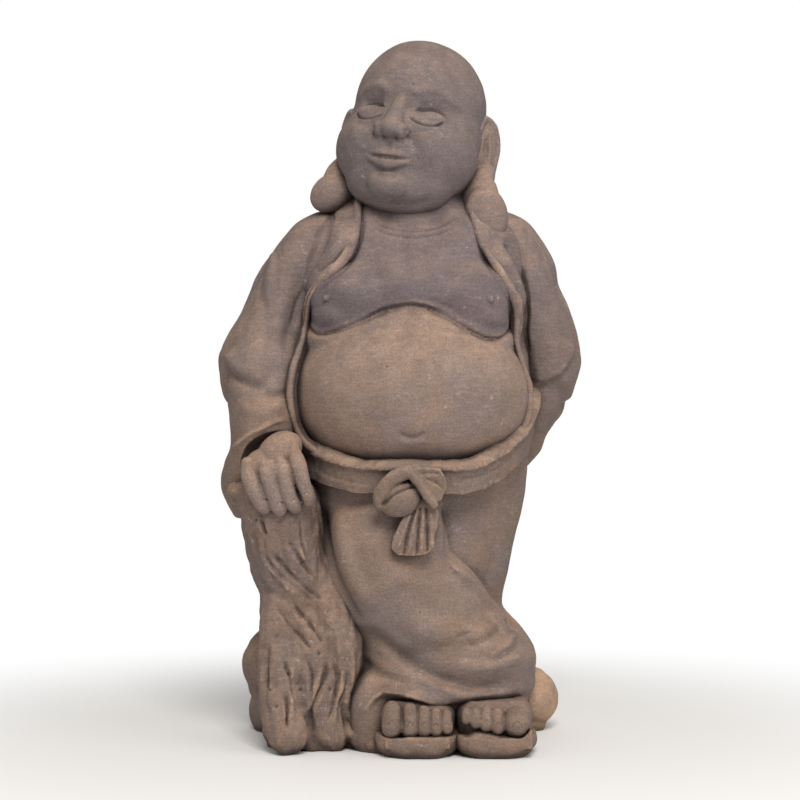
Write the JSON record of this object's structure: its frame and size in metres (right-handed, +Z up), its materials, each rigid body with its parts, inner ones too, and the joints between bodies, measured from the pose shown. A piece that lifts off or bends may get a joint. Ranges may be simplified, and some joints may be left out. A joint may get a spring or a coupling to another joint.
{
  "type": "laughing buddha garden statue",
  "caption": "Garden statue of a standing, round-bellied laughing buddha in an open robe, one hand on a tree stump, cast in stone mortar.",
  "frame": {"origin": "on the ground, under the middle of the statue's box", "axes": "+Z up; the figure faces -Y, with its right hand and the stump at -X"},
  "size_m": [0.4062, 0.3, 0.7917],
  "materials": {
    "skin_stone": "matte cast stone, brown-taupe wash, rubbed lighter",
    "cloth_stone": "matte cast stone, brown-taupe wash",
    "bark_stone": "matte cast stone, coarse bark texture, brown wash",
    "base_stone": "matte cast stone, rough base",
    "steel": "mill finish bar"
  },
  "bodies": {
    "root": {"armature_bar": "steel", "shoulder_tie": "steel", "stump_pin": "steel", "wrist_pin_right": "steel", "wrist_pin_left": "steel", "head": "skin_stone", "ear_right": "skin_stone", "ear_left": "skin_stone", "chest": "skin_stone", "belly": "skin_stone", "skirt_front": "cloth_stone", "skirt_back": "cloth_stone", "lapel_right": "cloth_stone", "lapel_left": "cloth_stone", "robe_back": "cloth_stone", "sash_band": "cloth_stone", "sash_knot": "cloth_stone", "sash_tails": "cloth_stone", "hand_right": "skin_stone", "hand_left": "skin_stone", "stump": "bark_stone", "sleeve_right": "cloth_stone", "sleeve_left": "cloth_stone", "sole_left": "base_stone", "sole_right": "base_stone", "foot_left": "skin_stone", "foot_right": "skin_stone", "stone_right": "bark_stone", "stone_left": "bark_stone", "plinth": "base_stone"}
  },
  "joints": []
}
